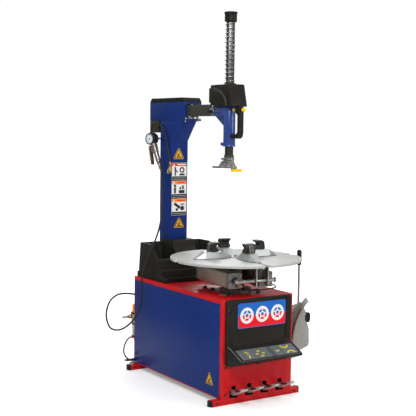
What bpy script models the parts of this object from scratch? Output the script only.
"""Swing-arm tyre changer for car wheels, as separate solids.

Metres, +Z up. The operator stands on the -Y side and faces +Y, with +X on the right.
The origin is the centre of the front foot beam's underside.
"""
import math

import bmesh
import bpy
from mathutils import Matrix, Vector

GAP = 0.0003            # clearance between touching pieces
SHEET = 0.003           # sheet metal thickness

# Cabinet and feet
CABINET_HALF_WIDTH = 0.215
CABINET_FRONT = -0.020
CABINET_REAR = 0.860
CABINET_TOP = 0.520
BEAM_HEIGHT = 0.0275
BEAM_HALF_LENGTH = 0.275
FRONT_BEAM_DEPTH = 0.040
REAR_BEAM_MIDDLE = 0.8265
REAR_BEAM_DEPTH = 0.041
CABINET_BOTTOM = BEAM_HEIGHT + GAP

# Pedals, from left to right
PEDAL_XS = (-0.141, -0.047, 0.047, 0.141)
PEDAL_PIVOT_Y = 0.120
PEDAL_PIVOT_Z = 0.062
PEDAL_WIDTH = 0.022

# Turntable, seen in its own frame: local x to the right slot, local y to the rear slot
TABLE_Y = 0.1785
TABLE_TURN = math.radians(-6.5)
TABLE_RADIUS = 0.336
TABLE_TOP = 0.695
TABLE_THICK = 0.012
TABLE_BOTTOM = TABLE_TOP - TABLE_THICK
SLOT_WIDTH = 0.016
SLOT_INNER = 0.047
HUB_RADIUS = 0.045
SLIDE_TOP = 0.731
JAW_RADIUS = 0.140

# Clamping cylinders under the table
CYLINDER_X = 0.0875
CYLINDER_SIZE = 0.075
CYLINDER_FRONT = -0.150
CYLINDER_REAR = 0.200
CYLINDER_Z = 0.599
ROD_RADIUS = 0.0115

# Drive inside the cabinet
GEARBOX_Z = 0.430
GEARBOX_HALF = 0.075
BELT_X = -0.130
MOTOR_Y = 0.420
MOTOR_Z = 0.270
LARGE_PULLEY = 0.060
SMALL_PULLEY = 0.035

# Pillar, head and swing arm
PILLAR_HALF_WIDTH = 0.055
PILLAR_FRONT = 0.742
PILLAR_REAR = 0.860
HEAD_BOTTOM = 1.388
HEAD_TOP = 1.490
HEAD_FRONT = 0.606
HEAD_REAR = 0.978
HEAD_HALF_WIDTH = 0.0555
PIVOT_Y = 0.620
ARM_BOTTOM = 1.413
ARM_TOP = 1.473
ARM_HALF_WIDTH = 0.030
ARM_END = 0.395

# Vertical hexagonal shaft and what it carries
SHAFT_Y = 0.255
SHAFT_CORNER = 0.0219
SHAFT_BOTTOM = 1.2003
SHAFT_TOP = 1.9245
SLEEVE_RADIUS = 0.0305
SLEEVE_BOTTOM = 1.257
SLEEVE_TOP = 1.459
COVER_BOTTOM = SLEEVE_TOP + GAP
COVER_TOP = 1.573
SPRING_RADIUS = 0.0262
SPRING_WIRE = 0.0016
SPRING_TURNS = 14
CAP_BOTTOM = 1.889
CAP_TOP = 1.939
HEAD_TOOL_BOTTOM = 1.145
TOOL_TURN = math.radians(-45)

# Bead breaker on the right side
BREAKER_HINGE = Vector((0.270, 0.780, 0.0))
BREAKER_TURN = math.radians(11.6)
BREAKER_LENGTH = 0.690
BREAKER_LOW = 0.330
BREAKER_HIGH = 0.380
BREAKER_ROD_Y = 0.620
BLADE_Y = 0.095
BLADE_X = 0.340

# Air line and inflator
REGULATOR_X = -0.172
REGULATOR_Y = 0.905
HOSE_RADIUS = 0.005
THIN_HOSE_RADIUS = 0.0040


# ---------------------------------------------------------------- scene and materials

for old in list(bpy.data.objects):
    bpy.data.objects.remove(old, do_unlink=True)

parts = bpy.data.collections.new("tyre_changer")
cutters = bpy.data.collections.new("cutters")
bpy.context.scene.collection.children.link(parts)
bpy.context.scene.collection.children.link(cutters)


def material(name, colour, roughness, metallic=0.0):
    made = bpy.data.materials.new(name)
    made.use_nodes = True
    shader = made.node_tree.nodes["Principled BSDF"]
    shader.inputs["Base Color"].default_value = (*colour, 1.0)
    shader.inputs["Roughness"].default_value = roughness
    shader.inputs["Metallic"].default_value = metallic
    return made


RED = material("red_paint", (0.56, 0.012, 0.015), 0.35)
BLUE = material("blue_paint", (0.012, 0.032, 0.20), 0.35)
BLACK = material("black_plastic", (0.017, 0.016, 0.014), 0.45)
RUBBER = material("rubber", (0.02, 0.02, 0.02), 0.8)
STEEL = material("steel", (0.42, 0.42, 0.42), 0.35, 1.0)
TABLE_GREY = material("table_grey", (0.52, 0.52, 0.48), 0.4)
CAST = material("cast_metal", (0.20, 0.19, 0.17), 0.5, 0.8)
ALUMINIUM = material("aluminium", (0.55, 0.55, 0.55), 0.4, 1.0)
BRASS = material("brass", (0.55, 0.38, 0.17), 0.35, 1.0)
YELLOW = material("yellow_plastic", (0.95, 0.60, 0.01), 0.4)
ORANGE = material("orange_plastic", (0.95, 0.26, 0.005), 0.4)


# ---------------------------------------------------------------- shape helpers

def add(name, mesh, finish, location=(0, 0, 0)):
    """Put a mesh in the scene as one named part."""
    part = bpy.data.objects.new(name, mesh)
    part.location = location
    part.data.materials.append(finish)
    parts.objects.link(part)
    return part


def box(name, low, high, finish, bevel=0.0):
    """A box from its two corners, with its edges optionally rounded."""
    low = Vector(low)
    high = Vector(high)
    shape = bmesh.new()
    bmesh.ops.create_cube(shape, size=1.0, matrix=Matrix.Diagonal((*(high - low), 1.0)))
    mesh = bpy.data.meshes.new(name)
    shape.to_mesh(mesh)
    shape.free()
    part = add(name, mesh, finish, (low + high) / 2)
    if bevel:
        round_edges(part, bevel)
    return part


def round_edges(part, width, segments=1):
    soften = part.modifiers.new("Bevel", "BEVEL")
    soften.width = width
    soften.segments = segments
    soften.limit_method = "ANGLE"
    soften.angle_limit = math.radians(40)


PLANES = {
    "XY": Matrix.Identity(4),
    "YZ": Matrix(((0, 0, 1, 0), (1, 0, 0, 0), (0, 1, 0, 0), (0, 0, 0, 1))),
    "XZ": Matrix(((1, 0, 0, 0), (0, 0, -1, 0), (0, 1, 0, 0), (0, 0, 0, 1))),
}


def slab(name, outline, plane, low, high, finish, bevel=0.0):
    """A flat outline, given as points in its plane, filled from low to high across it."""
    curve = bpy.data.curves.new(name, "CURVE")
    curve.dimensions = "2D"
    curve.fill_mode = "BOTH"
    curve.extrude = (high - low) / 2
    spline = curve.splines.new("POLY")
    spline.points.add(len(outline) - 1)
    for point, (u, v) in zip(spline.points, outline):
        point.co = (u, v, 0, 1)
    spline.use_cyclic_u = True
    flat = bpy.data.objects.new(name, curve)
    parts.objects.link(flat)
    bpy.context.view_layer.update()
    mesh = bpy.data.meshes.new_from_object(flat.evaluated_get(bpy.context.evaluated_depsgraph_get()))
    bpy.data.objects.remove(flat)
    shape = bmesh.new()
    shape.from_mesh(mesh)
    bmesh.ops.remove_doubles(shape, verts=shape.verts, dist=0.00001)
    bmesh.ops.transform(shape, matrix=PLANES[plane], verts=shape.verts)
    bmesh.ops.recalc_face_normals(shape, faces=shape.faces)
    shape.to_mesh(mesh)
    shape.free()
    mesh.materials.clear()
    across = {"XY": Vector((0, 0, 1)), "YZ": Vector((1, 0, 0)), "XZ": Vector((0, 1, 0))}[plane]
    part = add(name, mesh, finish, across * (low + high) / 2)
    if bevel:
        round_edges(part, bevel)
    return part


AXES = {"Z": (0, 0, 0), "X": (0, math.pi / 2, 0), "Y": (-math.pi / 2, 0, 0)}


def turned(name, profile, finish, location=(0, 0, 0), axis="Z", steps=24, ring=False):
    """A turned piece: (radius, height) pairs from top to bottom, spun about its axis."""
    shape = bmesh.new()
    verts = [shape.verts.new((radius, 0, height)) for radius, height in profile]
    pairs = list(zip(verts, verts[1:]))
    if ring:
        pairs.append((verts[-1], verts[0]))
    for pair in pairs:
        shape.edges.new(pair)
    mesh = bpy.data.meshes.new(name)
    shape.to_mesh(mesh)
    shape.free()
    part = add(name, mesh, finish, location)
    part.rotation_euler = AXES[axis]
    spin = part.modifiers.new("Screw", "SCREW")
    spin.steps = steps
    spin.render_steps = steps
    spin.use_merge_vertices = True
    spin.merge_threshold = 0.00005
    spin.use_smooth_shade = False
    return part


def rod(name, radius, low, high, finish, location=(0, 0, 0), axis="Z", steps=24):
    """A plain round bar between two heights along its axis."""
    return turned(name, [(0, high), (radius, high), (radius, low), (0, low)], finish, location, axis, steps)


def wire(name, points, radius, finish, resolution=2):
    """A round wire or hose along its points, with closed ends."""
    curve = bpy.data.curves.new(name, "CURVE")
    curve.dimensions = "3D"
    curve.bevel_depth = radius
    curve.bevel_resolution = resolution
    curve.use_fill_caps = True
    spline = curve.splines.new("POLY")
    spline.points.add(len(points) - 1)
    for point, place in zip(spline.points, points):
        point.co = (*place, 1)
    part = bpy.data.objects.new(name, curve)
    curve.materials.append(finish)
    parts.objects.link(part)
    return part


def smooth_route(points, spacing):
    """Even steps along a smooth curve through the route's own points."""
    knots = [Vector(point) for point in points]
    knots = [2 * knots[0] - knots[1]] + knots + [2 * knots[-1] - knots[-2]]
    fine = []
    for a, b, c, d in zip(knots, knots[1:], knots[2:], knots[3:]):
        for step in range(24):
            t = step / 24
            fine.append(0.5 * (2 * b + (c - a) * t + (2 * a - 5 * b + 4 * c - d) * t ** 2
                               + (3 * b - a - 3 * c + d) * t ** 3))
    fine.append(knots[-2])
    total = sum((q - p).length for p, q in zip(fine, fine[1:]))
    count = max(2, round(total / spacing))
    step = total / count
    route = [fine[0]]
    walked = 0.0
    for p, q in zip(fine, fine[1:]):
        length = (q - p).length
        while walked + length >= step * len(route) and len(route) < count:
            route.append(p.lerp(q, (step * len(route) - walked) / length))
        walked += length
    route.append(fine[-1])
    return route


def tool(part):
    """Keep a piece only as a cutter or an addition to another piece."""
    parts.objects.unlink(part)
    cutters.objects.link(part)
    part.hide_render = True
    part.display_type = "WIRE"
    return part


def combine(target, other, operation):
    tool(other)
    change = target.modifiers.new(operation.title(), "BOOLEAN")
    change.operation = operation
    change.object = other
    return target


def cut(target, *others):
    for other in others:
        combine(target, other, "DIFFERENCE")
    return target


def fuse(target, *others):
    for other in others:
        combine(target, other, "UNION")
    return target


def joint_axis(name, location, turn=0.0):
    """An empty on a joint's axis, for the pieces that move about or along it."""
    empty = bpy.data.objects.new(name, None)
    empty.location = location
    empty.rotation_euler = (0, 0, turn)
    cutters.objects.link(empty)
    bpy.context.view_layer.update()
    return empty


def carry(empty, *pieces):
    """Hang pieces on a joint's empty without moving them."""
    bpy.context.view_layer.update()
    for piece in pieces:
        piece.parent = empty
        piece.matrix_parent_inverse = empty.matrix_world.inverted()
    return empty


def mount(empty, *pieces):
    """Hang pieces that were made in the empty's own frame."""
    for piece in pieces:
        piece.parent = empty
    return empty


def arc(centre, radius, start, end, count):
    """Points on an arc, with its angles in degrees."""
    angles = [math.radians(start + (end - start) * i / (count - 1)) for i in range(count)]
    return [(centre[0] + radius * math.cos(a), centre[1] + radius * math.sin(a)) for a in angles]


def rounded_rectangle(low, high, radius, count=4):
    """A rectangle's outline with round corners, anticlockwise."""
    (left, bottom), (right, top) = low, high
    return (arc((right - radius, bottom + radius), radius, -90, 0, count)
            + arc((right - radius, top - radius), radius, 0, 90, count)
            + arc((left + radius, top - radius), radius, 90, 180, count)
            + arc((left + radius, bottom + radius), radius, 180, 270, count))


# ---------------------------------------------------------------- cabinet and feet

def foot_beams():
    """Two cross beams that the machine stands on, with chamfered ends."""
    chamfer = 0.012
    for name, middle, depth in (("front_foot_beam", 0.0, FRONT_BEAM_DEPTH),
                                ("rear_foot_beam", REAR_BEAM_MIDDLE, REAR_BEAM_DEPTH)):
        end = BEAM_HALF_LENGTH
        half = depth / 2
        outline = [(-end, middle + half - chamfer), (-end, middle - half + chamfer),
                   (chamfer - end, middle - half), (end - chamfer, middle - half),
                   (end, middle - half + chamfer), (end, middle + half - chamfer),
                   (end - chamfer, middle + half), (chamfer - end, middle + half)]
        slab(name, outline, "XY", 0, BEAM_HEIGHT, RED)


def pedal_slot(x):
    """A wide slot with a narrower top, cut through the cabinet's front."""
    outline = [(x - 0.0235, 0.031), (x + 0.0235, 0.031), (x + 0.0235, 0.070), (x + 0.0125, 0.070),
               (x + 0.0125, 0.090), (x - 0.0125, 0.090), (x - 0.0125, 0.070), (x - 0.0235, 0.070)]
    return slab("slot", outline, "XZ", CABINET_FRONT - 0.01, CABINET_FRONT + 0.01, RED)


def cabinet():
    """The folded cabinet: top, front, back and right side, with a window behind the left panel."""
    half = CABINET_HALF_WIDTH
    shell = box("cabinet_shell", (-half, CABINET_FRONT, CABINET_BOTTOM), (half, CABINET_REAR, CABINET_TOP), RED)
    inside = half - SHEET
    room = box("room", (-inside, CABINET_FRONT + SHEET, -0.1),
               (inside, CABINET_REAR - SHEET, CABINET_TOP - SHEET), RED)
    window = box("window", (-half - 0.01, 0.030, 0.065), (-inside + 0.01, 0.820, 0.470), RED)
    hub_hole = rod("hub_hole", HUB_RADIUS + 0.004, 0.48, 0.56, RED, (0, TABLE_Y, 0))
    rod_hole = rod("rod_hole", 0.016, inside - 0.01, half + 0.01, RED, (0, BREAKER_ROD_Y, 0.355), "X", 16)
    cut(shell, room, window, hub_hole, rod_hole, *[pedal_slot(x) for x in PEDAL_XS])
    box("left_side_panel", (-half - GAP - 0.002, -0.003, 0.035), (-half - GAP, 0.852, 0.500), BLUE)
    return shell


def wheel_pad():
    """Ribbed rubber that a wheel leans on while its bead is broken."""
    face = CABINET_HALF_WIDTH + GAP
    pad = box("wheel_support_pad", (face, 0.030, 0.120), (face + 0.012, 0.270, 0.400), RUBBER)
    grooves = [box("groove", (face + 0.008, 0.020, z), (face + 0.020, 0.280, z + 0.012), RUBBER)
               for z in (0.170, 0.220, 0.270, 0.320, 0.365)]
    cut(pad, *grooves)


def console():
    """Moulded front cover with a recessed face and a sloping shelf under it."""
    back = CABINET_FRONT - GAP
    front = back - 0.015
    cover = slab("front_console", rounded_rectangle((-0.197, 0.195), (0.197, 0.519), 0.012), "XZ", front, back,
                 BLACK)
    recess = slab("recess", rounded_rectangle((-0.160, 0.300), (0.168, 0.512), 0.010),
                  "XZ", front - 0.01, front + 0.008, BLACK)
    shelf_side = [(back, 0.197), (back, 0.300), (-0.062, 0.283), (-0.148, 0.244), (-0.151, 0.240),
                  (-0.151, 0.232), (-0.060, 0.197)]
    shelf = slab("shelf", shelf_side, "YZ", -0.190, 0.182, BLACK)
    cut(cover, recess)
    fuse(cover, shelf)


def pedals():
    """Four cast pedals; each turns on a cross axle inside the cabinet."""
    stem = PEDAL_WIDTH / 2
    tread = stem + 0.004
    side = (arc((PEDAL_PIVOT_Y, PEDAL_PIVOT_Z), 0.017, -90, 90, 9)
            + [(0.020, 0.067), (-0.030, 0.068), (-0.118, 0.099), (-0.127, 0.097), (-0.127, 0.090),
               (-0.030, 0.045), (0.020, 0.045)])
    plan = [(-stem, 0.150), (-stem, -0.026), (-tread, -0.045), (-tread, -0.105), (-0.010, -0.140),
            (0.010, -0.140), (tread, -0.105), (tread, -0.045), (stem, -0.026), (stem, 0.150)]
    for number, x in enumerate(PEDAL_XS, 1):
        pedal = slab(f"pedal_{number}", side, "YZ", x - 0.025, x + 0.025, CAST)
        above = slab("above", [(x + u, v) for u, v in plan], "XY", 0.0, 0.2, CAST)
        combine(pedal, above, "INTERSECT")
        for sign in (-1, 1):
            eye = pedal_eye(x + sign * tread)
            cut(pedal, eye)
        bore = rod("bore", 0.0066, x - 0.05, x + 0.05, CAST, (0, PEDAL_PIVOT_Y, PEDAL_PIVOT_Z), "X", 16)
        cut(pedal, bore)
        carry(joint_axis(f"pedal_{number}_axis", (x, PEDAL_PIVOT_Y, PEDAL_PIVOT_Z)), pedal)
    rod("pedal_axle", 0.006, -0.190, 0.190, STEEL, (0, PEDAL_PIVOT_Y, PEDAL_PIVOT_Z), "X", 16)


def pedal_eye(x):
    """An eye-shaped hollow in a pedal's side, sloping with the tread."""
    slope = math.radians(-17)
    outline = []
    for step in range(12):
        angle = math.tau * step / 12
        u = 0.024 * math.cos(angle)
        v = 0.0045 * math.sin(angle)
        outline.append((-0.074 + u * math.cos(slope) - v * math.sin(slope),
                        0.0775 + u * math.sin(slope) + v * math.cos(slope)))
    return slab("eye", outline, "YZ", x - 0.003, x + 0.003, CAST)


def tool_tray():
    """Moulded tray that wraps the pillar's foot: a bin on each side and a low front shelf."""
    left = -0.200
    right = 0.190
    side = [(0.857, CABINET_TOP + GAP), (0.857, 0.548), (0.840, 0.552), (0.823, 0.714), (0.710, 0.714),
            (0.620, 0.632), (0.622, 0.582), (0.584, 0.550), (0.552, 0.545), (0.548, CABINET_TOP + GAP)]
    tray = slab("tool_tray", side, "YZ", left, right, BLACK)
    block = box("block", (-0.066, 0.690, 0.530), (0.072, 0.830, 0.732), BLACK)
    fuse(tray, block)
    bins = [box("bin", (left + 0.010, 0.632, 0.545), (-0.066, 0.815, 0.80), BLACK),
            box("bin", (0.072, 0.632, 0.545), (right - 0.010, 0.815, 0.80), BLACK),
            box("front_shelf", (left + 0.010, 0.560, 0.534), (right - 0.010, 0.613, 0.60), BLACK),
            box("pillar_notch", (-PILLAR_HALF_WIDTH - GAP, PILLAR_FRONT - GAP, 0.50),
                (PILLAR_HALF_WIDTH + GAP, 0.90, 0.80), BLACK)]
    cut(tray, *bins)


# ---------------------------------------------------------------- drive inside the cabinet

def pulley(name, radius, centre, reach):
    """A grooved pulley on a short shaft that runs towards its gearbox or motor."""
    groove = radius - 0.010
    profile = [(0, 0.012), (radius, 0.012), (radius, 0.006), (groove, 0.006), (groove, -0.006),
               (radius, -0.006), (radius, -0.012), (0, -0.012)]
    wheel = turned(name, profile, CAST, (BELT_X, centre[0], centre[1]), "X", 20)
    shaft = rod("shaft", 0.009, 0.0, reach, STEEL, (BELT_X, centre[0], centre[1]), "X", 12)
    fuse(wheel, shaft)
    carry(joint_axis(f"{name}_axis", (BELT_X, centre[0], centre[1])), wheel)


def belt():
    """A belt round both pulleys, sitting in their grooves."""
    run = Vector((MOTOR_Y - TABLE_Y, MOTOR_Z - GEARBOX_Z))
    heading = math.degrees(math.atan2(run.y, run.x))
    lean = math.degrees(math.asin((LARGE_PULLEY - SMALL_PULLEY) / run.length))

    def loop(extra):
        large = LARGE_PULLEY - 0.010 + extra
        small = SMALL_PULLEY - 0.010 + extra
        return (arc((TABLE_Y, GEARBOX_Z), large, heading + 90 - lean, heading + 270 + lean, 14)
                + arc((MOTOR_Y, MOTOR_Z), small, heading - 90 + lean, heading + 90 - lean, 9))

    band = slab("drive_belt", loop(0.0085), "YZ", BELT_X - 0.005, BELT_X + 0.005, RUBBER)
    hollow = slab("hollow", loop(0.0009), "YZ", BELT_X - 0.02, BELT_X + 0.02, RUBBER)
    cut(band, hollow)


def drive():
    """Worm gearbox under the cabinet's top, its motor, both pulleys and the belt."""
    top = CABINET_TOP - SHEET - GAP
    reach = GEARBOX_HALF
    gearbox = box("gearbox", (-reach, TABLE_Y - reach, 0.360), (reach, TABLE_Y + reach, top), CAST)
    well = rod("well", 0.0305, 0.40, 0.56, CAST, (0, TABLE_Y, 0))
    port = rod("port", 0.0095, -reach - 0.01, -reach + 0.045, CAST, (0, TABLE_Y, GEARBOX_Z), "X", 12)
    cut(gearbox, well, port)
    motor = turned("drive_motor", [(0, 0.150), (0.050, 0.150), (0.066, 0.130), (0.066, -0.060), (0.045, -0.075),
                                   (0, -0.075)], CAST, (0.0, MOTOR_Y, MOTOR_Z), "X", 20)
    foot = box("foot", (-0.050, MOTOR_Y - 0.045, MOTOR_Z - 0.085), (0.120, MOTOR_Y + 0.045, MOTOR_Z - 0.050),
               CAST)
    fuse(motor, foot)
    socket = rod("socket", 0.0095, -0.10, -0.030, CAST, (0, MOTOR_Y, MOTOR_Z), "X", 12)
    cut(motor, socket)
    pulley("gearbox_pulley", LARGE_PULLEY, (TABLE_Y, GEARBOX_Z), 0.090)
    pulley("motor_pulley", SMALL_PULLEY, (MOTOR_Y, MOTOR_Z), 0.090)
    belt()


# ---------------------------------------------------------------- turntable

def table_disc():
    """The round table with four radial slots that open at its rim."""
    disc = rod("turntable_disc", TABLE_RADIUS, TABLE_BOTTOM, TABLE_TOP, TABLE_GREY, steps=72)
    half = SLOT_WIDTH / 2
    for quarter in range(4):
        mouth = TABLE_RADIUS - 0.022
        outline = [(SLOT_INNER, -half), (mouth, -half), (mouth + 0.016, -half - 0.012), (0.36, -half - 0.014),
                   (0.36, half + 0.014), (mouth + 0.016, half + 0.012), (mouth, half), (SLOT_INNER, half)]
        slot = slab("table_slot", outline, "XY", TABLE_BOTTOM - 0.01, TABLE_TOP + 0.01, TABLE_GREY)
        slot.rotation_euler = (0, 0, quarter * math.pi / 2)
        cut(disc, slot)
        yield slot
    yield disc


def table_hub():
    """The hub that carries the table on the gearbox's output shaft."""
    profile = [(0, TABLE_BOTTOM - GAP), (HUB_RADIUS, TABLE_BOTTOM - GAP), (HUB_RADIUS, 0.5215), (0.030, 0.5215),
               (0.030, 0.410), (0, 0.410)]
    return turned("turntable_hub", profile, CAST, steps=24)


def slide(name):
    """A raised clamp slide over its slot, made on the local +X side and turned by its caller."""
    base = TABLE_TOP + GAP
    plan = [(0.034, 0.011), (0.080, 0.031), (0.185, 0.031), (0.232, 0.011)]
    outline = plan + [(u, -v) for u, v in plan]
    shape = bmesh.new()
    for height in (base, base + 0.003):
        for u, v in outline:
            shape.verts.new((u, v, height))
    for u in (0.096, 0.184):
        for v in (-0.021, 0.021):
            shape.verts.new((u, v, SLIDE_TOP))
    bmesh.ops.convex_hull(shape, input=shape.verts)
    mesh = bpy.data.meshes.new(name)
    shape.to_mesh(mesh)
    shape.free()
    carrier = add(name, mesh, STEEL)
    neck = box("neck", (0.070, -0.0075, TABLE_BOTTOM - 0.010), (0.150, 0.0075, base + 0.005), STEEL)
    keeper = box("keeper", (0.060, -0.022, TABLE_BOTTOM - 0.014), (0.150, 0.022, TABLE_BOTTOM - GAP), STEEL)
    fuse(carrier, neck, keeper)
    return carrier, [neck, keeper]


def jaw(name):
    """A clamp jaw with its V mouth towards the table's centre, on the local +X side."""
    foot = SLIDE_TOP + GAP
    side = [(-0.020, 0), (0.010, 0), (0.014, 0.012), (0.012, 0.036), (0.004, 0.046), (-0.032, 0.047),
            (-0.033, 0.043), (-0.012, 0.029), (-0.013, 0.023), (-0.028, 0.008), (-0.027, 0.003)]
    side = [(JAW_RADIUS + u, foot + v) for u, v in side]
    return slab(name, side, "XZ", -0.028, 0.028, BLACK, bevel=0.0015)


def clamp_cylinders():
    """Two square cylinders beside the hub, each with a bore for its piston rod."""
    half = CYLINDER_SIZE / 2
    made = []
    for name, x in (("clamp_cylinder_left", -CYLINDER_X), ("clamp_cylinder_right", CYLINDER_X)):
        body = box(name, (x - half, CYLINDER_FRONT, CYLINDER_Z - half),
                   (x + half, CYLINDER_REAR, CYLINDER_Z + half), ALUMINIUM, bevel=0.004)
        bore = rod("cylinder_bore", ROD_RADIUS + 0.0005, -0.40, 0.170, ALUMINIUM, (x, 0, CYLINDER_Z), "Y", 16)
        cut(body, bore)
        made += [body, bore]
    return made


def front_yoke():
    """Both piston rods, the cross bar between them and the plates up to the front slide."""
    bar_y = -0.185
    bar = rod("clamp_yoke", 0.009, -0.105, 0.125, STEEL, (0, bar_y, CYLINDER_Z), "X", 16)
    bridge = box("bridge", (-0.012, -0.205, TABLE_BOTTOM - 0.014), (0.084, -0.1503, TABLE_BOTTOM - GAP), STEEL)
    plates = [box("plate", (x - 0.003, -0.205, CYLINDER_Z - 0.025), (x + 0.003, -0.165, TABLE_BOTTOM - 0.010),
                  STEEL)
              for x in (0.008, 0.074)]
    rods = [rod("piston_rod", ROD_RADIUS, bar_y, 0.130, STEEL, (x, 0, CYLINDER_Z), "Y", 16)
            for x in (-CYLINDER_X, CYLINDER_X)]
    fuse(bar, *plates, bridge, *rods)
    return [bar, bridge, *plates, *rods]


def rear_bracket(carrier):
    """The plate that ties both cylinders to the rear slide; made in the slide's own frame."""
    plate = box("rear_plate", (CYLINDER_REAR + GAP, -0.110, CYLINDER_Z - 0.025),
                (CYLINDER_REAR + 0.012, 0.110, TABLE_BOTTOM - GAP), STEEL)
    link = box("rear_link", (0.140, -0.022, TABLE_BOTTOM - 0.014),
               (CYLINDER_REAR + 0.006, 0.022, TABLE_BOTTOM - GAP), STEEL)
    fuse(carrier, link, plate)
    return [link, plate]


def turntable():
    """The table, its hub, four coupled slides with their jaws, and the clamping cylinders."""
    axis = joint_axis("turntable_axis", (0, TABLE_Y, 0), TABLE_TURN)
    mount(axis, *table_disc(), table_hub(), *clamp_cylinders(), *front_yoke())
    for side, quarter in (("right", 0), ("rear", 1), ("left", 2), ("front", 3)):
        carrier, tools = slide(f"jaw_slide_{side}")
        if side == "rear":
            tools += rear_bracket(carrier)
        rail = joint_axis(f"slide_{side}_axis", (0, 0, 0), quarter * math.pi / 2)
        mount(axis, rail)
        mount(rail, carrier, jaw(f"jaw_{side}"), *tools)


# ---------------------------------------------------------------- pillar, head and swing arm

def pillar():
    """A folded box pillar with a raking front under its head, open at the bottom."""
    def outline(inset, foot):
        return [(PILLAR_REAR - inset, foot), (PILLAR_REAR - inset, HEAD_BOTTOM - GAP - inset),
                (0.652 + inset * 2, HEAD_BOTTOM - GAP - inset), (PILLAR_FRONT + inset, 1.277 + inset * 0.4),
                (PILLAR_FRONT + inset, foot)]
    half = PILLAR_HALF_WIDTH
    post = slab("pillar", outline(0, CABINET_TOP + GAP), "YZ", -half, half, BLUE)
    hollow = slab("hollow", outline(0.004, 0.40), "YZ", 0.004 - half, half - 0.004, BLUE)
    cut(post, hollow)


def head():
    """The box on the pillar that holds the arm's pivot, its lid and the pivot pin."""
    half = HEAD_HALF_WIDTH
    shell = box("head_box", (-half, HEAD_FRONT, HEAD_BOTTOM), (half, HEAD_REAR, HEAD_TOP), BLUE)
    room = box("head_room", (0.004 - half, 0.690, HEAD_BOTTOM + 0.006), (half - 0.004, HEAD_REAR - 0.004, 1.60),
               BLUE)
    mouth = box("head_mouth", (-0.0385, 0.50, HEAD_BOTTOM + 0.010), (half + 0.01, 0.668, HEAD_TOP - 0.0135),
                BLUE)
    gauge_tab = box("gauge_tab", (-half, 0.880, 1.322), (-0.020, 0.971, HEAD_BOTTOM + 0.004), BLACK)
    cut(shell, room, mouth)
    fuse(shell, gauge_tab)
    lid_side = [(HEAD_FRONT, HEAD_TOP + GAP), (HEAD_REAR, HEAD_TOP + GAP), (HEAD_REAR, HEAD_TOP + 0.004),
                (HEAD_REAR - 0.018, HEAD_TOP + 0.024), (HEAD_FRONT + 0.019, HEAD_TOP + 0.024),
                (HEAD_FRONT, HEAD_TOP + 0.004)]
    slab("head_cap", lid_side, "YZ", -half, half, BLACK, bevel=0.003)
    low = HEAD_BOTTOM + 0.010 + GAP
    profile = [(0, HEAD_TOP - 0.0135 - GAP), (0.012, HEAD_TOP - 0.0135 - GAP), (0.012, ARM_BOTTOM - GAP),
               (0.038, ARM_BOTTOM - GAP), (0.038, low), (0, low)]
    turned("swing_pivot_pin", profile, STEEL, (0, PIVOT_Y, 0), steps=24)


def swing_arm():
    """The square arm with a round root about its pivot."""
    half = ARM_HALF_WIDTH
    plan = (arc((0, PIVOT_Y), 0.037, 0, 180, 13) + [(-half, PIVOT_Y - 0.022), (-half, ARM_END), (half, ARM_END),
                                                  (half, PIVOT_Y - 0.022)])
    arm = slab("swing_arm", plan, "XY", ARM_BOTTOM, ARM_TOP, BLACK, bevel=0.003)
    bore = rod("arm_bore", 0.0125, 1.39, 1.50, BLACK, (0, PIVOT_Y, 0))
    cut(arm, bore)
    return [arm, bore]


def sleeve():
    """The guide tube for the shaft, with its block and web up to the arm."""
    tube = rod("shaft_sleeve", SLEEVE_RADIUS, SLEEVE_BOTTOM, SLEEVE_TOP, BLUE, (0, SHAFT_Y, 0), steps=28)
    block = box("block", (-0.030, SHAFT_Y, ARM_BOTTOM), (0.030, ARM_END - GAP, SLEEVE_TOP), BLUE)
    web = slab("web", [(SHAFT_Y, 1.350), (SHAFT_Y + 0.045, 1.362), (0.394, ARM_BOTTOM + 0.01),
                       (SHAFT_Y, ARM_BOTTOM + 0.01)],
               "YZ", -0.005, 0.005, BLUE)
    boss = rod("boss", 0.009, -0.044, 0.0, BLUE, (0, SHAFT_Y + 0.006, 1.270), "X", 14)
    bore = rod("sleeve_bore", SHAFT_CORNER + 0.0006, 1.20, 1.50, BLUE, (0, SHAFT_Y, 0), steps=28)
    fuse(tube, block, web, boss)
    cut(tube, bore)
    return [tube, block, web, boss, bore]


def cover():
    """The moulded cover over the shaft's lock, wider at its foot and open below."""
    def body(name, inset, low, high):
        shape = bmesh.new()
        bmesh.ops.create_cube(shape, size=1.0)
        for vert in shape.verts:
            upper = vert.co.z > 0
            front = 0.190 if upper else 0.170
            rear = 0.368 if upper else 0.362
            half = (0.046 if upper else 0.052) - inset
            vert.co.x = math.copysign(half, vert.co.x)
            vert.co.y = rear - inset if vert.co.y > 0 else front + inset
            vert.co.z = high if upper else low
        mesh = bpy.data.meshes.new(name)
        shape.to_mesh(mesh)
        shape.free()
        return add(name, mesh, BLACK)
    outside = body("shaft_cover", 0.0, COVER_BOTTOM, COVER_TOP)
    round_edges(outside, 0.006, 2)
    ear = box("ear", (-0.040, 0.350, 1.482), (0.040, 0.388, 1.556), BLACK)
    inside = body("cover_room", 0.004, COVER_BOTTOM - 0.01, COVER_TOP - 0.004)
    hole = rod("cover_hole", SHAFT_CORNER + 0.0008, 1.50, 1.60, BLACK, (0, SHAFT_Y, 0))
    fuse(outside, ear)
    cut(outside, inside, hole)
    return [outside, ear, inside, hole]


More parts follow.
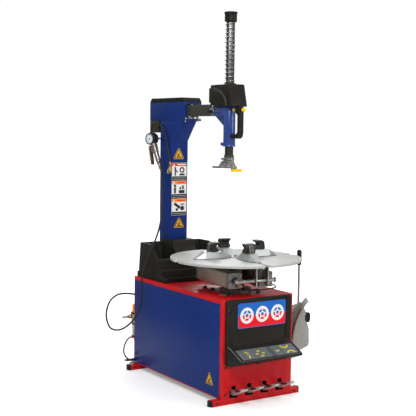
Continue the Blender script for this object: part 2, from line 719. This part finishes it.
def lock_handle():
    """The pull handle under the cover, and the lock button that slides through its top."""
    top = COVER_BOTTOM - GAP
    side = [(0.146, top), (0.146, 1.325), (0.152, 1.306), (0.168, 1.298), (SHAFT_Y, 1.300), (SHAFT_Y, 1.318),
            (0.182, 1.321), (0.170, 1.330), (0.170, 1.415), (0.188, 1.428), (0.188, top)]
    grip = slab("lock_handle", side, "YZ", -0.013, 0.013, BLACK, bevel=0.003)
    clear = rod("clear", SLEEVE_RADIUS + GAP, 1.20, 1.50, BLACK, (0, SHAFT_Y, 0), steps=28)
    button_z = 1.443
    hole = rod("button_hole", 0.0045, 0.10, 0.20, BLACK, (0, 0, button_z), "Y", 12)
    cut(grip, clear, hole)
    profile = [(0, 0.1965), (0.006, 0.1965), (0.008, 0.1945), (0.008, 0.1887), (0.004, 0.1887), (0.004, 0.1395),
               (0.0075, 0.1375), (0.0105, 0.1330), (0.0105, 0.1275), (0.0075, 0.1215), (0, 0.1195)]
    button = turned("lock_button", profile, YELLOW, (0, 0, button_z), "Y", 16)
    carry(joint_axis("lock_button_axis", (0, 0.15, button_z)), button)
    return [grip, clear, hole]


def stop_knob():
    """The knob on the arm's left side that sets its stop."""
    side = ARM_HALF_WIDTH + GAP
    profile = [(0, -side), (0.016, -side), (0.016, -side - 0.008), (0.0065, -side - 0.008),
               (0.0065, -side - 0.020), (0, -side - 0.020)]
    knob = turned("stop_knob", profile, STEEL, (0, 0.367, 1.434), "X", 20)
    carry(joint_axis("stop_knob_axis", (-side, 0.367, 1.434)), knob)
    return knob


def hex_shaft():
    """The six-sided shaft."""
    shape = bmesh.new()
    bmesh.ops.create_cone(shape, cap_ends=True, segments=6, radius1=SHAFT_CORNER, radius2=SHAFT_CORNER,
                          depth=SHAFT_TOP - SHAFT_BOTTOM)
    mesh = bpy.data.meshes.new("hex_shaft")
    shape.to_mesh(mesh)
    shape.free()
    return add("hex_shaft", mesh, STEEL, (0, SHAFT_Y, (SHAFT_TOP + SHAFT_BOTTOM) / 2))


def return_spring():
    """The open coil that pushes the shaft up."""
    low = COVER_TOP + SPRING_WIRE + GAP
    high = CAP_BOTTOM - SPRING_WIRE - GAP
    count = SPRING_TURNS * 10
    points = []
    for i in range(count + 1):
        angle = math.tau * SPRING_TURNS * i / count
        points.append((SPRING_RADIUS * math.cos(angle), SHAFT_Y + SPRING_RADIUS * math.sin(angle),
                       low + (high - low) * i / count))
    return wire("shaft_spring", points, SPRING_WIRE, STEEL, resolution=0)


def top_cap():
    """The cap on the shaft, which holds the spring down."""
    profile = [(0, CAP_TOP), (0.030, CAP_TOP), (0.034, CAP_TOP - 0.003), (0.034, CAP_TOP - 0.008),
               (0.0315, CAP_TOP - 0.011), (0.0315, CAP_BOTTOM), (SHAFT_CORNER + 0.0006, CAP_BOTTOM),
               (SHAFT_CORNER + 0.0006, SHAFT_TOP + GAP), (0, SHAFT_TOP + GAP)]
    return turned("shaft_top_cap", profile, BLACK, (0, SHAFT_Y, 0), steps=28)


def mount_head():
    """The cast head that guides the bead over the rim, with its plastic insert."""
    axis = joint_axis("mount_head_place", (0, SHAFT_Y, 0), TOOL_TURN)
    low = HEAD_TOOL_BOTTOM
    sole = slab("mount_head", [(-0.088, 0.004), (-0.060, -0.014), (-0.020, -0.024), (0.030, -0.022),
                               (0.042, -0.010),
                               (0.040, 0.016), (0.010, 0.026), (-0.040, 0.020), (-0.082, 0.012)],
                "XY", low, low + 0.011, CAST)
    wedge = slab("wedge", [(-0.052, low + 0.010), (0.036, low + 0.010), (0.026, low + 0.030),
                           (0.020, low + 0.044),
                           (-0.020, low + 0.044), (-0.040, low + 0.034)], "XZ", -0.017, 0.017, CAST)
    neck = turned("neck", [(0, SHAFT_BOTTOM - GAP), (0.026, SHAFT_BOTTOM - GAP), (0.026, SHAFT_BOTTOM - 0.012),
                           (0.020, SHAFT_BOTTOM - 0.016), (0.022, low + 0.020), (0.022, low + 0.005),
                           (0, low + 0.005)],
                  CAST, steps=20)
    seat = rod("seat", 0.0095, low - 0.01, low + 0.008, CAST, (0.030, 0, 0), steps=14)
    fuse(sole, wedge, neck)
    cut(sole, seat)
    insert = slab("mount_head_insert", [(0.012, -0.008), (0.022, -0.014), (0.036, -0.010), (0.046, -0.004),
                                        (0.068, -0.003), (0.070, 0.002), (0.066, 0.005), (0.044, 0.006),
                                        (0.034, 0.012),
                                        (0.020, 0.012), (0.012, 0.006)], "XY", low - 0.018, low - GAP, YELLOW)
    stud = rod("stud", 0.009, low - 0.010, low + 0.007, YELLOW, (0.030, 0, 0), steps=14)
    fuse(insert, stud)
    mount(axis, sole, wedge, neck, seat, insert, stud)
    return [axis]


def arm_assembly():
    """Everything that swings with the arm, and the shaft that slides in it."""
    swing = joint_axis("swing_arm_axis", (0, PIVOT_Y, 0))
    carry(swing, *swing_arm(), *sleeve(), *cover(), *lock_handle(), stop_knob(), return_spring())
    shaft = joint_axis("shaft_axis", (0, SHAFT_Y, 0))
    carry(shaft, hex_shaft(), top_cap(), *mount_head())


# ---------------------------------------------------------------- bead breaker

def breaker_hinge(cabinet_shell):
    """A forked bracket, welded to the cabinet's rear right, with its pin."""
    face = CABINET_HALF_WIDTH - 0.001
    x, y = BREAKER_HINGE.xy
    bracket = box("breaker_bracket", (face, y - 0.030, BREAKER_LOW - 0.030),
                  (x + 0.026, y + 0.030, BREAKER_HIGH + 0.030), RED)
    throat = box("throat", (face + 0.008, y - 0.05, BREAKER_LOW - 0.004),
                 (x + 0.05, y + 0.05, BREAKER_HIGH + 0.004), RED)
    pin = rod("pin", 0.010, BREAKER_LOW - 0.034, BREAKER_HIGH + 0.036, STEEL, (x, y, 0), steps=16)
    cut(bracket, throat)
    fuse(bracket, pin)
    fuse(cabinet_shell, bracket)


def breaker_arm(axis):
    """The arm, made along its own -Y from the hinge and then turned."""
    eye = arc((0, 0), 0.024, 0, 180, 9)
    arm = slab("breaker_arm", eye + [(-0.0225, -0.03), (-0.0225, -BREAKER_LENGTH), (0.0225, -BREAKER_LENGTH),
                                     (0.0225, -0.03)], "XY", BREAKER_LOW, BREAKER_HIGH, BLUE)
    bore = rod("breaker_bore", 0.0106, 0.30, 0.42, BLUE, steps=16)
    cut(arm, bore)
    mount(axis, arm, bore)


def breaker_blade():
    """The shield plate across the arm's end and the curved blade that crosses it."""
    x = BLADE_X
    outline = [(x - 0.054, 0.429), (x + 0.022, 0.444), (x + 0.030, 0.433), (x + 0.054, 0.389),
               (x + 0.059, 0.342), (x + 0.077, 0.297), (x + 0.080, 0.219), (x + 0.071, 0.203),
               (x + 0.019, 0.187), (x + 0.003, 0.195),
               (x - 0.037, 0.242), (x - 0.072, 0.287), (x - 0.077, 0.402)]
    shield = slab("breaker_blade", outline, "XZ", BLADE_Y - 0.004, BLADE_Y + 0.002, STEEL)
    centre = (x + 0.225, 0.252)
    outer = arc(centre, 0.260, 128, 182, 9)
    inner = arc(centre, 0.255, 182, 128, 9)
    blade = slab("curved_blade", outer + inner, "XZ", -0.040, 0.060, STEEL)
    slant = Matrix.Identity(4)
    slant[0][1] = 0.65
    blade.data.transform(slant)
    blade.location = (0.0, BLADE_Y, 0)
    fuse(shield, blade)
    return [shield, blade]


def breaker_handle():
    """The upright bar that the operator swings the arm with, and its grip."""
    x = BLADE_X + 0.012
    y = BLADE_Y + 0.002 + 0.0055 + GAP
    bar = rod("breaker_handle", 0.0055, 0.425, 0.690, STEEL, (x, y, 0), steps=14)
    grip = turned("breaker_grip", [(0, 0.722), (0.008, 0.720), (0.0125, 0.712), (0.0125, 0.665),
                                   (0.0105, 0.640),
                                   (0.0058, 0.640), (0.0058, 0.6903), (0, 0.6903)], BLACK, (x, y, 0), steps=18)
    return [bar, grip]


def breaker_cylinder():
    """The large cylinder inside the cabinet and the rod that works the arm."""
    profile = [(0, 0.080), (0.094, 0.080), (0.100, 0.074), (0.100, -0.074), (0.094, -0.080), (0, -0.080)]
    barrel = turned("breaker_cylinder", profile, ALUMINIUM, (0.070, BREAKER_ROD_Y, 0.355), "X", 28)
    bore = rod("breaker_bore", 0.0125, 0.010, 0.30, ALUMINIUM, (0, BREAKER_ROD_Y, 0.355), "X", 16)
    cut(barrel, bore)
    piston = rod("breaker_rod", 0.012, 0.020, 0.268, STEEL, (0, BREAKER_ROD_Y, 0.355), "X", 16)
    carry(joint_axis("breaker_rod_axis", (0.15, BREAKER_ROD_Y, 0.355)), piston)


def bead_breaker(cabinet_shell):
    axis = joint_axis("breaker_axis", BREAKER_HINGE, BREAKER_TURN)
    breaker_hinge(cabinet_shell)
    breaker_arm(axis)
    carry(axis, *breaker_blade(), *breaker_handle())
    breaker_cylinder()


# ---------------------------------------------------------------- air line and inflator

def regulator():
    """The filter and regulator on the rear face, with its knob."""
    x, y = REGULATOR_X, REGULATOR_Y
    profile = [(0, 0.305), (0.030, 0.305), (0.032, 0.300), (0.032, 0.252), (0.028, 0.246), (0.026, 0.160),
               (0.020, 0.152), (0.011, 0.150), (0.011, 0.136), (0, 0.136)]
    body = turned("air_regulator", profile, ALUMINIUM, (x, y, 0), steps=20)
    arm = box("arm", (x - 0.018, CABINET_REAR + GAP, 0.262), (x + 0.018, y, 0.296), ALUMINIUM)
    nipple = turned("nipple", [(0, -0.010), (0.010, -0.010), (0.010, -0.048), (0.0065, -0.050),
                               (0.0065, -0.088), (0, -0.088)], BRASS, (x, y + 0.008, 0.281), "X", 14)
    fuse(body, arm, nipple)
    knob = turned("regulator_knob", [(0, 0.350), (0.022, 0.350), (0.026, 0.345), (0.026, 0.314), (0.030, 0.312),
                                     (0.030, 0.3053), (0, 0.3053)], ORANGE, (x, y, 0), steps=20)
    carry(joint_axis("regulator_knob_axis", (x, y, 0.33)), knob)


def inflator():
    """The tyre inflator that hangs beside the pillar: dial, gun, trigger and air chuck."""
    x = -0.078
    dial = turned("pressure_gauge", [(0, 0.022), (0.028, 0.022), (0.032, 0.018), (0.0345, -0.012),
                                     (0.0325, -0.020), (0.0285, -0.022), (0.0285, -0.019), (0, -0.019)],
                  RUBBER, (-0.075, 0.915, 1.286), "X", 28)
    dial.rotation_euler.z = math.radians(15)
    gun = turned("inflator_gun", [(0, 0.000), (0.013, 0.000), (0.017, -0.004), (0.017, -0.036),
                                  (0.0135, -0.044),
                                  (0.0135, -0.112), (0.009, -0.118), (0.009, -0.140), (0.0065, -0.143),
                                  (0.0065, -0.1695), (0, -0.1695)], CAST, (x, 0.893, 1.256), steps=18)
    lean = math.radians(-30)
    gun.rotation_euler = (lean, 0, 0)
    trigger = slab("inflator_trigger", [(0.922, 1.2475), (0.936, 1.2435), (0.934, 1.232), (0.908, 1.142),
                                        (0.900, 1.140), (0.901, 1.150), (0.922, 1.226)],
                   "YZ", x - 0.010, x + 0.010, BRASS)
    carry(joint_axis("inflator_trigger_axis", (x, 0.929, 1.238)), trigger)
    chuck = turned("air_chuck", [(0, 1.138), (0.006, 1.138), (0.009, 1.132), (0.009, 1.112), (0.012, 1.108),
                                 (0.012, 1.100), (0, 1.100)], BRASS, (-0.066, 0.733, 0), steps=14)
    return dial, gun, chuck


def hoses():
    """The inflator's supply hose, its delivery hose and the regulator's drain hose."""
    supply = [
        (-0.078, 0.8077, 1.1082), (-0.0785, 0.8017, 1.0978), (-0.083, 0.791, 1.077), (-0.100, 0.755, 1.000),
        (-0.130, 0.710, 0.920), (-0.165, 0.665, 0.830), (-0.205, 0.650, 0.740), (-0.232, 0.680, 0.650),
        (-0.240, 0.720, 0.560), (-0.238, 0.738, 0.470), (-0.238, 0.745, 0.390), (-0.250, 0.770, 0.320),
        (-0.268, 0.815, 0.262), (-0.300, 0.870, 0.222), (-0.335, 0.910, 0.226), (-0.350, 0.930, 0.268),
        (-0.345, 0.945, 0.320), (-0.315, 0.960, 0.372), (-0.265, 0.965, 0.402), (-0.205, 0.960, 0.405),
        (-0.150, 0.935, 0.395), (-0.114, 0.903, 0.385), (-0.105, 0.878, 0.381), (-0.105, 0.8605, 0.381)]
    wire("supply_hose", smooth_route(supply, 0.024), HOSE_RADIUS, RUBBER)
    delivery = [
        (-0.078, 0.925, 1.3216), (-0.078, 0.925, 1.331), (-0.077, 0.919, 1.352), (-0.075, 0.904, 1.3674),
        (-0.072, 0.883, 1.373), (-0.068, 0.850, 1.368), (-0.066, 0.820, 1.350), (-0.066, 0.795, 1.320),
        (-0.066, 0.775, 1.280), (-0.066, 0.757, 1.235), (-0.066, 0.742, 1.190), (-0.066, 0.7345, 1.165),
        (-0.066, 0.733, 1.150), (-0.066, 0.733, 1.1385)]
    wire("delivery_hose", smooth_route(delivery, 0.022), HOSE_RADIUS, RUBBER)
    drain = [
        (-0.1986, 0.905, 0.165), (-0.208, 0.905, 0.165), (-0.222, 0.907, 0.159), (-0.235, 0.912, 0.144),
        (-0.243, 0.918, 0.121), (-0.246, 0.924, 0.095), (-0.241, 0.929, 0.068), (-0.226, 0.932, 0.044),
        (-0.203, 0.932, 0.027), (-0.178, 0.926, 0.021), (-0.157, 0.912, 0.024), (-0.143, 0.894, 0.037),
        (-0.138, 0.880, 0.0455), (-0.138, 0.870, 0.046), (-0.138, CABINET_REAR + 0.0005, 0.046)]
    wire("drain_hose", smooth_route(drain, 0.016), THIN_HOSE_RADIUS, RUBBER)


foot_beams()
shell = cabinet()
wheel_pad()
console()
pedals()
tool_tray()
drive()
turntable()
pillar()
head()
arm_assembly()
bead_breaker(shell)
regulator()
inflator()
hoses()
